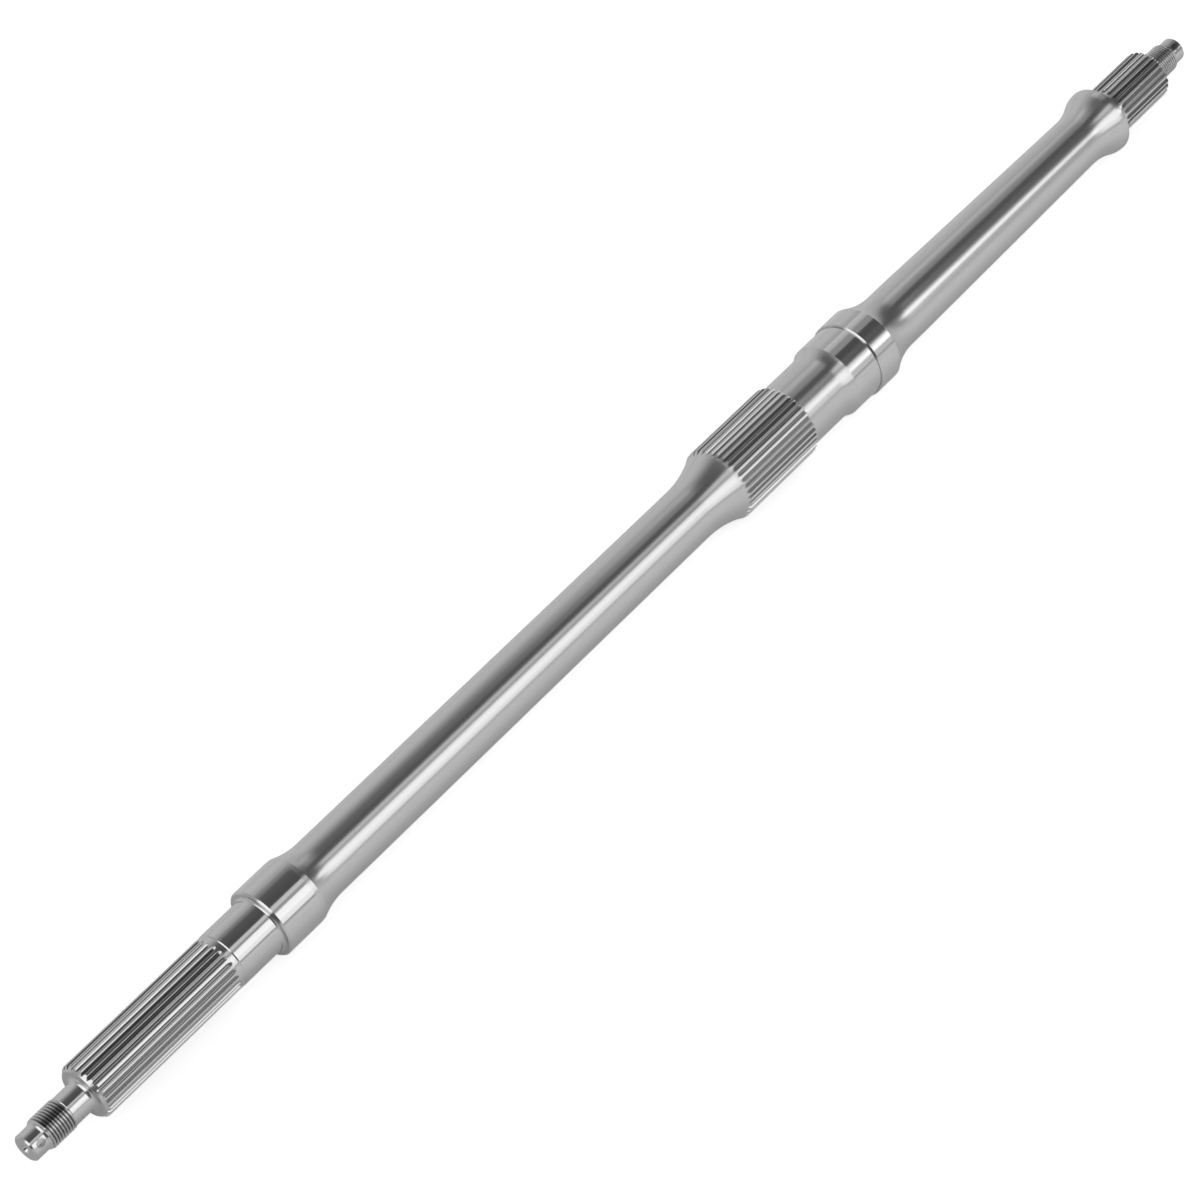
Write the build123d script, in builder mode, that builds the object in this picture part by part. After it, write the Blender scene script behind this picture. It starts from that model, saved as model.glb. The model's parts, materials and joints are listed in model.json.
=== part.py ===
"""Splined transmission shaft, one turned and splined piece.

The shaft lies along X.  The origin is on the axis, in the middle of the
bearing seat next to the long spline, and +X runs towards the short spline.
Everything is in millimetres.  Every station along the shaft is added up from
the lengths below, and every diameter hangs from the spline and thread sizes,
so a changed size moves its neighbours with it.
"""
import os
from math import acos, cos, degrees, radians, sin, sqrt, tan

from build123d import *

os.makedirs("parts", exist_ok=True)

# --- involute splines: one module for all three --------------------------
MODULE = 1.0                 # spline module
TEETH_END = 26               # teeth on each end spline (28 mm nominal)
TEETH_MID = 38               # teeth on the middle spline (40 mm nominal)
TIP_RELIEF = 0.15            # tips stand this far inside the nominal radius
TOOTH_DEPTH = 1.15 * MODULE  # tip to root, radial
GAP_ROOT = 0.70 * MODULE     # width of a gap at its floor
FLANK_LEAN = 34.4            # lean of each flank from the radial, degrees
RUNOUT_R = 3.6               # radius of the rounded end of a blind gap
PHASE_A = 117.9              # angle of the first gap of each spline, degrees
PHASE_B = 117.9
PHASE_C = 117.9

# --- threads, necks and noses at the two ends ------------------------------
THREAD_D = 16.0              # M16 x 1.5, left plain here
NOSE_DROP = 1.3              # nose radius below the thread radius
NECK_DROP = 0.5              # neck radius below the thread radius
NOSE_LEN = 7.5
THREAD_LEN = 15.2
LEAD_CHAMFER = 1.9           # long lead-in bevel where the thread starts
NOSE_CHAMFER = 0.75
NECK_A_LEN = 11.3
NECK_C_LEN = 2.5
NECK_FILLET = 2.5
COTTER_D = 4.0               # split-pin hole through each nose
COTTER_A_ANGLE = 138.8       # direction of each hole about the axis, degrees
COTTER_C_ANGLE = 113.9
COTTER_SET = 0.9             # hole centre from mid-nose, towards the thread
CENTRE_D = 4.6               # 60 degree centre in each end
CENTRE_PILOT_D = 2.0
CENTRE_PILOT_LEN = 3.0

# --- radii that hang from the splines ----------------------------------------
SEAT_RISE = 3.5              # bearing seat radius above the seal journal radius
BAR_1_DROP = 3.1             # first bar radius below the bearing seat radius
RELIEF_DROP = 2.0            # plain land beside the middle spline
LAND_RISE = 1.0              # seal land radius above the inner bearing seat
BAR_2_DROP = 5.25            # second bar radius below the seal land
BAR_2_TAPER = 1.65           # how much the second bar radius falls on its way
RIM_RISE = 4.5               # bell rim radius above the thin end of the bar

# --- lengths -----------------------------------------------------------------
SEAT_LEN = 21.0
JOURNAL_LEN = 24.0
SPLINE_A_LEN = 84.9          # spline with its plain run-out land
SPLINE_A_LAND = 1.9          # plain land between the gaps and the journal
BAR_1_LEN = 260.8
SPLINE_B_LEN = 54.0
RELIEF_LEN = 26.5
INNER_SEAT_LEN = 17.4
LAND_LEN = 15.1
BAR_2_PLAIN = 11.6
BAR_2_LEN = 151.5            # tapering length
RIM_LEN = 0.9
SPLINE_C_LEN = 44.6
SPLINE_C_LAND = 5.2          # plain land between the bell and the gaps

# --- sweeps and edge breaks --------------------------------------------------
SWEEP_1_R = 38.0             # hollow sweep, seat to first bar
SWEEP_2_R = 60.0             # hollow sweep, first bar to middle spline
SWEEP_3_R = 43.0             # hollow sweep, seal land to second bar
RELIEF_SWEEP_R = 15.0        # hollow rise, plain land to inner seat
BELL_HOLLOW_R = 40.0
BELL_ROUND_R = 14.0
SEAT_CHAMFER = 0.7
SEAT_FILLET = 1.5
FACE_CHAMFER = 1.7           # big bevel on the near face of the long spline
EDGE = 0.6                   # ordinary edge break
GROOVE_W = 1.0               # narrow turned line before the journal
GROOVE_DEPTH = 0.3

# --- derived radii -----------------------------------------------------------
end_r = MODULE * (TEETH_END + 2) / 2          # nominal 14
mid_r = MODULE * (TEETH_MID + 2) / 2          # nominal 20
end_tip = end_r - TIP_RELIEF
mid_tip = mid_r - TIP_RELIEF
end_root = end_tip - TOOTH_DEPTH
mid_root = mid_tip - TOOTH_DEPTH
thread_r = THREAD_D / 2
nose_r = thread_r - NOSE_DROP
neck_r = thread_r - NECK_DROP
journal_r = end_r
seat_r = journal_r + SEAT_RISE
bar_1_r = seat_r - BAR_1_DROP
relief_r = mid_r - RELIEF_DROP
land_r = mid_r + LAND_RISE
bar_2_r = land_r - BAR_2_DROP
bar_2_thin = bar_2_r - BAR_2_TAPER
rim_r = bar_2_thin + RIM_RISE


def run(radius, rise):
    """Axial length of an arc that leaves a plain bar tangent and climbs."""
    return sqrt(2 * radius * rise - rise * rise)


def lean(radius, rise):
    """Slope angle of that arc at its high end."""
    return acos(1 - rise / radius)


# --- stations along X --------------------------------------------------------
x_seat_0 = -SEAT_LEN / 2
x_seat_1 = SEAT_LEN / 2
x_journal = x_seat_0 - JOURNAL_LEN
x_face_a = x_journal - SPLINE_A_LEN
x_thread_a = x_face_a - NECK_A_LEN
x_nose_a = x_thread_a - THREAD_LEN
x_end_a = x_nose_a - NOSE_LEN

shoulder_1 = seat_r - 0.2                      # where the sweep meets the seat
x_sweep_1 = x_seat_1 + 2.6
x_bar_1 = x_sweep_1 + run(SWEEP_1_R, shoulder_1 - bar_1_r)
x_sweep_2 = x_bar_1 + BAR_1_LEN
brink = mid_root - 0.02                        # the sweep ends just under the gap floors
x_spline_b = x_sweep_2 + run(SWEEP_2_R, brink - bar_1_r)
x_relief = x_spline_b + SPLINE_B_LEN
x_rise = x_relief + RELIEF_LEN
x_inner = x_rise + run(RELIEF_SWEEP_R, mid_r - relief_r)
x_land = x_inner + INNER_SEAT_LEN
x_sweep_3 = x_land + LAND_LEN
shoulder_3 = land_r - 0.4
x_bar_2 = x_sweep_3 + run(SWEEP_3_R, shoulder_3 - bar_2_r)
x_taper = x_bar_2 + BAR_2_PLAIN
x_bell = x_taper + BAR_2_LEN

# the bell is a hollow arc that turns over into a rounded one
bell_lean = acos(1 - RIM_RISE / (BELL_HOLLOW_R + BELL_ROUND_R))
x_turn = x_bell + BELL_HOLLOW_R * sin(bell_lean)
r_turn = bar_2_thin + BELL_HOLLOW_R * (1 - cos(bell_lean))
x_rim = x_turn + BELL_ROUND_R * sin(bell_lean)
x_face_c = x_rim + RIM_LEN
x_shoulder_c = x_face_c + SPLINE_C_LEN
x_thread_c = x_shoulder_c + NECK_C_LEN
x_nose_c = x_thread_c + THREAD_LEN + 0.8
x_end_c = x_nose_c + NOSE_LEN

centre_r = CENTRE_D / 2
pilot_r = CENTRE_PILOT_D / 2
centre_len = (centre_r - pilot_r) / tan(radians(30))


def hollow(x_flat, r_flat, radius, rise, way):
    """Three points of a hollow arc that starts tangent to a plain bar.

    way is +1 when the arc climbs towards +X and -1 when it climbs towards -X.
    """
    angle = lean(radius, rise)
    half = angle / 2
    return [
        (x_flat, r_flat),
        (x_flat + way * radius * sin(half), r_flat + radius * (1 - cos(half))),
        (x_flat + way * radius * sin(angle), r_flat + rise),
    ]


def centre(x_end, way):
    """Outline of a 60 degree centre, from the rim of the cone to the axis."""
    return [
        (x_end, centre_r),
        (x_end + way * centre_len, pilot_r),
        (x_end + way * (centre_len + CENTRE_PILOT_LEN), pilot_r),
        (x_end + way * (centre_len + CENTRE_PILOT_LEN + pilot_r / 2), 0),
    ]


# --- the turned blank --------------------------------------------------------
centre_a = centre(x_end_a, 1)
centre_c = centre(x_end_c, -1)
sweep_1 = hollow(x_bar_1, bar_1_r, SWEEP_1_R, shoulder_1 - bar_1_r, -1)
sweep_2 = hollow(x_sweep_2, bar_1_r, SWEEP_2_R, brink - bar_1_r, 1)
relief_sweep = hollow(x_rise, relief_r, RELIEF_SWEEP_R, mid_r - relief_r, 1)
sweep_3 = hollow(x_bar_2, bar_2_r, SWEEP_3_R, shoulder_3 - bar_2_r, -1)
half_lean = bell_lean / 2
bell_mid = (
    x_bell + BELL_HOLLOW_R * sin(half_lean),
    bar_2_thin + BELL_HOLLOW_R * (1 - cos(half_lean)),
)
round_mid = (
    x_rim - BELL_ROUND_R * sin(half_lean),
    rim_r - BELL_ROUND_R * (1 - cos(half_lean)),
)
fillet_k = 1 - cos(radians(45))

with BuildPart() as splined_shaft:
    with BuildSketch(Plane.XZ) as half_section:
        with BuildLine():
            Polyline(
                centre_a[3], centre_a[2], centre_a[1], centre_a[0],
                (x_end_a, nose_r - NOSE_CHAMFER),
                (x_end_a + NOSE_CHAMFER, nose_r),
                (x_nose_a, nose_r),
                (x_nose_a + LEAD_CHAMFER, thread_r),
                (x_thread_a - 0.6, thread_r),
                (x_thread_a, neck_r),
                (x_face_a - NECK_FILLET, neck_r),
            )
            ThreePointArc(
                (x_face_a - NECK_FILLET, neck_r),
                (x_face_a - NECK_FILLET * fillet_k, neck_r + NECK_FILLET * fillet_k),
                (x_face_a, neck_r + NECK_FILLET),
            )
            Polyline(
                (x_face_a, neck_r + NECK_FILLET),
                (x_face_a, end_tip - FACE_CHAMFER),
                (x_face_a + FACE_CHAMFER + 0.2, end_tip),
                (x_journal - GROOVE_W, end_tip),
                (x_journal - GROOVE_W + 0.2, end_tip - GROOVE_DEPTH),
                (x_journal - GROOVE_DEPTH, end_tip - GROOVE_DEPTH),
                (x_journal + 0.2, journal_r),
                (x_seat_0 - SEAT_FILLET, journal_r),
            )
            ThreePointArc(
                (x_seat_0 - SEAT_FILLET, journal_r),
                (x_seat_0 - SEAT_FILLET * fillet_k, journal_r + SEAT_FILLET * fillet_k),
                (x_seat_0, journal_r + SEAT_FILLET),
            )
            Polyline(
                (x_seat_0, journal_r + SEAT_FILLET),
                (x_seat_0, seat_r - SEAT_CHAMFER),
                (x_seat_0 + SEAT_CHAMFER, seat_r),
                (x_seat_1, seat_r),
                sweep_1[2],
            )
            ThreePointArc(sweep_1[2], sweep_1[1], sweep_1[0])
            Line(sweep_1[0], sweep_2[0])
            ThreePointArc(*sweep_2)
            Polyline(
                sweep_2[2],
                (x_spline_b + 1.9 * (mid_tip - brink), mid_tip),
                (x_relief - EDGE, mid_tip),
                (x_relief, mid_tip - EDGE),
                (x_relief, relief_r),
                relief_sweep[0],
            )
            ThreePointArc(*relief_sweep)
            Polyline(
                relief_sweep[2],
                (x_land, mid_r),
                (x_land, land_r - 0.5),
                (x_land + 0.5, land_r),
                (x_sweep_3 - 0.8, land_r),
                sweep_3[2],
            )
            ThreePointArc(sweep_3[2], sweep_3[1], sweep_3[0])
            Polyline(sweep_3[0], (x_taper, bar_2_r), (x_bell, bar_2_thin))
            ThreePointArc((x_bell, bar_2_thin), bell_mid, (x_turn, r_turn))
            ThreePointArc((x_turn, r_turn), round_mid, (x_rim, rim_r))
            Polyline(
                (x_rim, rim_r),
                (x_face_c - 0.5, rim_r),
                (x_face_c, rim_r - 0.5),
                (x_face_c, end_tip + 1.0),
            )
            ThreePointArc(
                (x_face_c, end_tip + 1.0),
                (x_face_c + fillet_k, end_tip + fillet_k),
                (x_face_c + 1.0, end_tip),
            )
            Polyline(
                (x_face_c + 1.0, end_tip),
                (x_shoulder_c - EDGE, end_tip),
                (x_shoulder_c, end_tip - EDGE),
                (x_shoulder_c, neck_r),
                (x_thread_c, neck_r),
                (x_thread_c + 0.6, thread_r),
                (x_nose_c - LEAD_CHAMFER, thread_r),
                (x_nose_c, nose_r),
                (x_end_c - NOSE_CHAMFER, nose_r),
                (x_end_c, nose_r - NOSE_CHAMFER),
                centre_c[0], centre_c[1], centre_c[2], centre_c[3],
            )
            Line(centre_c[3], centre_a[3])
        make_face()
    revolve(axis=Axis.X)

    # split-pin holes, straight across each nose
    for x_hole, angle in (
        (x_nose_a - NOSE_LEN / 2 + COTTER_SET, COTTER_A_ANGLE),
        (x_nose_c + NOSE_LEN / 2 - COTTER_SET, COTTER_C_ANGLE),
    ):
        across = Vector(0, cos(radians(angle)), sin(radians(angle)))
        with BuildSketch(Plane(origin=(x_hole, 0, 0), x_dir=(1, 0, 0), z_dir=across)):
            Circle(COTTER_D / 2)
        extrude(amount=thread_r + 1, both=True, mode=Mode.SUBTRACT)


def gap_tool(root, x_0, x_1, end_0, end_1):
    """Cutter for one tooth gap, pointing up +Z, from x_0 to x_1.

    The section is a trapezium that opens outwards.  Where end_0 or end_1 is
    true that end is blind and rises on an arc, as a form cutter leaves it.
    """
    height = TOOTH_DEPTH + 0.35
    wide = GAP_ROOT / 2 + height * tan(radians(FLANK_LEAN))
    swing = degrees(acos(1 - height / RUNOUT_R))
    with BuildPart() as tool:
        plane = Plane(origin=(x_0, 0, root), x_dir=(0, 1, 0), z_dir=(1, 0, 0))
        with BuildSketch(plane):
            Polygon((-GAP_ROOT / 2, 0), (GAP_ROOT / 2, 0), (wide, height),
                    (-wide, height), align=None)
        extrude(amount=x_1 - x_0)
        for blind, x_stop, turn in ((end_0, x_0, -1), (end_1, x_1, 1)):
            if blind:
                stop = Plane(origin=(x_stop, 0, root), x_dir=(0, 1, 0), z_dir=(1, 0, 0))
                with BuildSketch(stop):
                    Polygon((-GAP_ROOT / 2, 0), (GAP_ROOT / 2, 0),
                            (wide, height), (-wide, height), align=None)
                pivot = Axis((x_stop, 0, root + RUNOUT_R), (0, -turn, 0))
                revolve(axis=pivot, revolution_arc=swing)
    return tool.part


def cut_gaps(tool, teeth, phase):
    """Copies of one gap tool spread evenly round the axis."""
    return [
        tool.rotate(Axis.X, phase - 90 + 360 * k / teeth) for k in range(teeth)
    ]


blind_run = sqrt(2 * RUNOUT_R * TOOTH_DEPTH - TOOTH_DEPTH ** 2)
x_gap_a = x_journal - GROOVE_W - SPLINE_A_LAND - blind_run    # full depth up to here
x_gap_c = x_face_c + SPLINE_C_LAND + blind_run                # full depth from here on
gaps = cut_gaps(
    gap_tool(end_root, x_face_a - 0.5, x_gap_a, False, True),
    TEETH_END, PHASE_A,
)
gaps += cut_gaps(
    gap_tool(mid_root, x_spline_b - 0.5, x_relief + 0.5, False, False),
    TEETH_MID, PHASE_B,
)
gaps += cut_gaps(
    gap_tool(end_root, x_gap_c, x_shoulder_c + 0.5, True, False),
    TEETH_END, PHASE_C,
)
with splined_shaft:
    add(gaps, mode=Mode.SUBTRACT)

splined_shaft.part.label = "splined_shaft"
export_step(splined_shaft.part, "parts/splined_shaft.step")

print("long spline gaps", round(x_face_a, 2), "to", round(x_gap_a, 2))
print("middle spline", round(x_spline_b, 2), "to", round(x_relief, 2))
print("short spline gaps", round(x_gap_c, 2), "to", round(x_shoulder_c, 2))
print("ends", round(x_end_a, 2), round(x_end_c, 2), "bell face", round(x_face_c, 2))
print("inner seat", round(x_inner, 2), "land", round(x_land, 2), round(x_sweep_3, 2))
print("volume cm3", round(splined_shaft.part.volume / 1000, 2))
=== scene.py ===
# %% [markdown]
# # A splined steel shaft
#
# The object is one bar of steel, 861 mm long, turned between centres. It has a
# spline at each end and one near the middle, ground bands for bearings and
# seals, long swept shoulders, and a threaded nose at each end.
#
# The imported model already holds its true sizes, so it is loaded first as a
# fixed frame. Everything built below stands in that frame.

# %% Load the frame
import json
import math

import bpy
import numpy as np
from mathutils import Matrix, Vector


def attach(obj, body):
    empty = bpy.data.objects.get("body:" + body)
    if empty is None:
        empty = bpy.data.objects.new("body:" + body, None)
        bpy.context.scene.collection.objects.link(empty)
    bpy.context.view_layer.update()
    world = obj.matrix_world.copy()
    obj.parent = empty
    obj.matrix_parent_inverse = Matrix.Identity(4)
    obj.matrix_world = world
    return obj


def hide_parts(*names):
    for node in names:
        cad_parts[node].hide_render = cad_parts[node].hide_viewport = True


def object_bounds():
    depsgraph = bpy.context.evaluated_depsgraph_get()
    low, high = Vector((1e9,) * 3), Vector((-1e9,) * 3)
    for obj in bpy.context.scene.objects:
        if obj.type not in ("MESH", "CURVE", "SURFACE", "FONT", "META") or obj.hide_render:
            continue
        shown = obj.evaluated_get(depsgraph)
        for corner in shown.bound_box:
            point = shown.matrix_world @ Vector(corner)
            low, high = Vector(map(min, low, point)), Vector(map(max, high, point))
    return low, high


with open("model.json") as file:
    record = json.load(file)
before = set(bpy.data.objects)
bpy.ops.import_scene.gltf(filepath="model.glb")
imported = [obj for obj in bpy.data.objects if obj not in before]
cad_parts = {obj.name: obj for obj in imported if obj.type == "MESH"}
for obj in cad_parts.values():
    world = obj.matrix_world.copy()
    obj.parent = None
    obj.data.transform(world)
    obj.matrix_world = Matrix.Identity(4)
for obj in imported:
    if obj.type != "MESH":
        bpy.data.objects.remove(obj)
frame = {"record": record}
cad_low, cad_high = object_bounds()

MM = 0.001                   # the skin is worked out in millimetres
print("frame box, mm:", [round(v / MM, 2) for v in (*cad_low, *cad_high)])

# %% [markdown]
# ## The camera
#
# A long thin thing is easiest to look at from one end, from above and with a
# long lens, so that the near end is only a little larger than the far end. The
# camera could be placed by three coordinates. It is placed instead by the
# direction it looks from, its distance and the point it looks at, because
# those are the things one wants to change.

# %% Camera
VIEW_TURN = -51.55           # degrees round Z from the -Y side
VIEW_RISE = 49.6             # degrees above the horizon
VIEW_DISTANCE = 1.697        # metres
LENS = 111.0                 # millimetres, on a 36 mm sensor
AIM_BACK = 0.0546            # the aim lies this far behind the middle, towards -X
AIM_DROP = Vector((0, -0.00032, -0.00017))

turn, rise = math.radians(VIEW_TURN), math.radians(VIEW_RISE)
toward_camera = Vector((
    math.sin(turn) * math.cos(rise),
    -math.cos(turn) * math.cos(rise),
    math.sin(rise),
))
aim = Vector(((cad_low.x + cad_high.x) / 2 - AIM_BACK, 0, 0)) + AIM_DROP
camera_data = bpy.data.cameras.new("camera")
camera_data.lens = LENS
camera_data.sensor_width = 36.0
camera_data.clip_start = 0.1
camera_data.clip_end = 50.0
camera = bpy.data.objects.new("camera", camera_data)
camera.location = aim + toward_camera * VIEW_DISTANCE
camera.rotation_mode = "QUATERNION"
camera.rotation_quaternion = (-toward_camera).to_track_quat("-Z", "Y")
bpy.context.scene.collection.objects.link(camera)
bpy.context.scene.camera = camera
bpy.context.scene.view_settings.view_transform = "Standard"
print("camera at", [round(v, 3) for v in camera.location])

# %% [markdown]
# ## Node helpers
#
# Materials and the world are both graphs of nodes. Three short helpers keep
# the code that builds them readable: one adds a node, one adds a sum or
# product, and one adds a ramp from a list of (place, value) stops.

# %% Node helpers
def add_node(tree, kind, **settings):
    """A new node in a tree, with its properties set by name."""
    node = tree.nodes.new(kind)
    for key, value in settings.items():
        setattr(node, key, value)
    return node


def plug(tree, socket, value):
    """Links an output to a socket, or writes a plain number into it."""
    if isinstance(value, bpy.types.NodeSocket):
        tree.links.new(value, socket)
    else:
        socket.default_value = value


def calc(tree, operation, *values):
    """One math node; values are numbers or outputs of other nodes."""
    node = add_node(tree, "ShaderNodeMath", operation=operation)
    for socket, value in zip(node.inputs, values):
        plug(tree, socket, value)
    return node.outputs[0]


def ramp(tree, value, stops, ease="LINEAR"):
    """A ramp that turns a value from 0 to 1 into the grey levels of its stops."""
    node = add_node(tree, "ShaderNodeValToRGB")
    node.color_ramp.interpolation = ease
    marks = node.color_ramp.elements
    while len(marks) < len(stops):
        marks.new(0.5)
    for mark, (place, level) in zip(marks, stops):
        mark.position = place
        mark.color = (level, level, level, 1)
    plug(tree, node.inputs[0], value)
    return node.outputs[0]


# %% [markdown]
# ## The studio
#
# Bare steel has almost no colour of its own: what is seen is the room. A
# picture of a room could be used, but a plain studio is only a few soft
# shapes, so it is written as a function of direction. Round the shaft's axis
# there is a grey wall behind, a dark gap overhead, a dim wall in front and a
# pale one low down. Each is a stop on a ramp whose place is the angle about X,
# from +Y at 0 through +Z at 90 degrees.
#
# Directions that look back past the long spline's end see other panels, and
# so do those that look far along the shaft, so three rings of panels are
# blended by how far a direction leans along X.

# %% Studio light
BRIGHTEST = 2.0              # ramp levels are shares of this radiance

PANELS_ACROSS = (            # (degrees about X, radiance)
    (0, 0.70), (20, 0.69), (38, 0.55), (52, 0.30), (66, 0.13), (96, 0.10),
    (120, 0.12), (128, 0.30), (163, 0.40), (171, 0.80), (180, 0.80),
)
PANELS_ALONG = (
    (0, 0.62), (30, 0.55), (60, 0.13), (120, 0.10), (134, 0.22),
    (160, 0.30), (172, 0.66), (180, 0.66),
)
PANELS_BACK = (
    (0, 0.50), (35, 0.45), (50, 1.45), (108, 1.45), (120, 0.12), (165, 0.12),
    (176, 0.60), (180, 0.66),
)


def panel_ring(tree, share, panels):
    """One ring of panels as a ramp over half a turn about X."""
    stops = [(angle / 180, light / BRIGHTEST) for angle, light in panels]
    return ramp(tree, share, stops, "EASE")


def studio_world():
    """World light as a soft function of direction, white to the camera itself."""
    world = bpy.data.worlds.new("studio")
    world.use_nodes = True
    tree = world.node_tree
    tree.nodes.clear()
    where = add_node(tree, "ShaderNodeTexCoord").outputs["Generated"]
    axes = add_node(tree, "ShaderNodeSeparateXYZ")
    plug(tree, axes.inputs[0], where)
    angle = calc(tree, "ARCTAN2", axes.outputs["Z"], axes.outputs["Y"])
    share = calc(tree, "DIVIDE", angle, math.pi)
    lean = axes.outputs["X"]
    across = panel_ring(tree, share, PANELS_ACROSS)
    along = panel_ring(tree, share, PANELS_ALONG)
    back = panel_ring(tree, share, PANELS_BACK)

    def blended(first, second, start, end):
        """first turns into second as the lean along X goes from start to end."""
        step = add_node(tree, "ShaderNodeMapRange", interpolation_type="SMOOTHSTEP")
        plug(tree, step.inputs["Value"], lean)
        step.inputs["From Min"].default_value = start
        step.inputs["From Max"].default_value = end
        mix = add_node(tree, "ShaderNodeMix", data_type="RGBA")
        plug(tree, mix.inputs["Factor"], step.outputs[0])
        plug(tree, mix.inputs[6], first)
        plug(tree, mix.inputs[7], second)
        return mix.outputs[2]

    front = blended(across, along, 0.56, 0.72)
    studio = blended(back, front, -0.55, -0.30)
    light = add_node(tree, "ShaderNodeBackground")
    plug(tree, light.inputs["Color"], studio)
    light.inputs["Strength"].default_value = BRIGHTEST
    white = add_node(tree, "ShaderNodeBackground")
    white.inputs["Color"].default_value = (1, 1, 1, 1)
    path = add_node(tree, "ShaderNodeLightPath")
    choose = add_node(tree, "ShaderNodeMixShader")
    seen = calc(tree, "MAXIMUM", path.outputs["Is Camera Ray"], path.outputs["Is Transmission Ray"])
    plug(tree, choose.inputs[0], seen)
    plug(tree, choose.inputs[1], light.outputs[0])
    plug(tree, choose.inputs[2], white.outputs[0])
    out = add_node(tree, "ShaderNodeOutputWorld")
    plug(tree, out.inputs["Surface"], choose.outputs[0])
    return world


bpy.context.scene.world = studio_world()

# %% [markdown]
# ## Soft boxes
#
# The bright lines along the shaft are lamps that stand parallel to it. They are
# real area lamps and not part of the world, because a lamp that ends somewhere
# shows its end in the steel: the far bar sees past the big box, and so its
# line is thinner and dimmer than the near bar's. Dimmer lamps beside the big
# ones soften their edges and lift the wall behind the far half.
#
# A lamp's power is spread over its area and over all directions in front of
# it, so a wanted brightness asks for pi x brightness x area.

# %% Soft boxes
BOX_DISTANCE = 1.2           # metres from the shaft's axis
SOFT_BOXES = (               # (name, degrees about X, metres along X, radiance)
    ("front_box", (125, 147), (-0.30, 1.225), 1.15),
    ("front_box_fringe", (147, 161), (-0.30, 1.20), 0.90),
    ("front_box_end", (136, 146), (1.225, 1.32), 0.80),
    ("front_box_far", (131, 148), (1.32, 1.45), 1.60),
    ("front_box_tip", (134, 147), (1.45, 1.80), 1.35),
    ("front_fringe_far", (128, 162), (1.225, 1.60), 0.32),
    ("top_strip", (103.5, 115.5), (-0.30, 1.13), 0.72),
    ("top_gap", (115.5, 125), (-0.30, 1.13), 0.30),
    ("back_wall_middle", (58, 82), (0.80, 0.98), 0.13),
    ("back_wall_far", (44, 63), (0.95, 1.80), 0.41),
    ("back_fringe_far", (63, 82), (0.98, 1.80), 0.26),
)


def soft_box(name, angles, reach, radiance):
    """An area lamp that fills a band of angles about X and faces the axis."""
    low, high = (math.radians(a) for a in angles)
    middle = (low + high) / 2
    width = 2 * BOX_DISTANCE * math.tan((high - low) / 2)
    length = reach[1] - reach[0]
    data = bpy.data.lights.new(name, "AREA")
    data.shape = "RECTANGLE"
    data.size, data.size_y = length, width
    data.energy = math.pi * radiance * length * width
    lamp = bpy.data.objects.new(name, data)
    out = Vector((0, math.cos(middle), math.sin(middle)))
    lamp.location = Vector(((reach[0] + reach[1]) / 2, 0, 0)) + out * BOX_DISTANCE
    across = out.cross(Vector((1, 0, 0)))
    lamp.rotation_mode = "QUATERNION"
    lamp.rotation_quaternion = Matrix((Vector((1, 0, 0)), across, out)).transposed().to_quaternion()
    lamp.visible_camera = False
    bpy.context.scene.collection.objects.link(lamp)
    return lamp


for box in SOFT_BOXES:
    soft_box(*box)
print(len(SOFT_BOXES), "soft boxes,", BOX_DISTANCE, "m from the shaft")

# %% [markdown]
# ## The floor
#
# The shaft is shown just touching a plain white table. The table is an
# ordinary pale matt surface, so the shaft throws a soft shadow on it and it
# shows in the lower half of the steel. A little light of its own, larger for
# the camera than for reflections, brings it up to white paper. In reflections
# it fades out at the shaft's foot, where the table lies in shade.

# %% Floor
FLOOR_REACH = 6.0            # metres each way from the shaft
PAPER = 0.80                 # colour of the paper
GLOW_SEEN = 0.66             # light of its own, as the camera sees it
GLOW_MIRRORED = 0.21         # and as the steel shows it, away from the shaft's foot
FOOT_SHADE = (0.005, 0.070)  # metres beside the shaft between which that glow grows


def floor_material():
    """Matt paper with a small glow that depends on the kind of ray."""
    material = bpy.data.materials.new("paper")
    material.use_nodes = True
    tree = material.node_tree
    tree.nodes.clear()
    matt = add_node(tree, "ShaderNodeBsdfDiffuse")
    matt.inputs["Color"].default_value = (PAPER, PAPER, PAPER, 1)
    path = add_node(tree, "ShaderNodeLightPath")
    mirrored = calc(tree, "MAXIMUM", path.outputs["Is Glossy Ray"],
                    path.outputs["Is Transmission Ray"])
    axes = add_node(tree, "ShaderNodeSeparateXYZ")
    plug(tree, axes.inputs[0], add_node(tree, "ShaderNodeTexCoord").outputs["Object"])
    beside = add_node(tree, "ShaderNodeMapRange")
    plug(tree, beside.inputs["Value"], calc(tree, "ABSOLUTE", axes.outputs["Y"]))
    beside.inputs["From Min"].default_value = FOOT_SHADE[0]
    beside.inputs["From Max"].default_value = FOOT_SHADE[1]
    beside.inputs["To Max"].default_value = GLOW_MIRRORED
    glow = calc(tree, "MULTIPLY_ADD", path.outputs["Is Camera Ray"], GLOW_SEEN,
                calc(tree, "MULTIPLY", mirrored, beside.outputs[0]))
    light = add_node(tree, "ShaderNodeEmission")
    plug(tree, light.inputs["Strength"], glow)
    both = add_node(tree, "ShaderNodeAddShader")
    plug(tree, both.inputs[0], matt.outputs[0])
    plug(tree, both.inputs[1], light.outputs[0])
    out = add_node(tree, "ShaderNodeOutputMaterial")
    plug(tree, out.inputs["Surface"], both.outputs[0])
    return material


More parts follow.
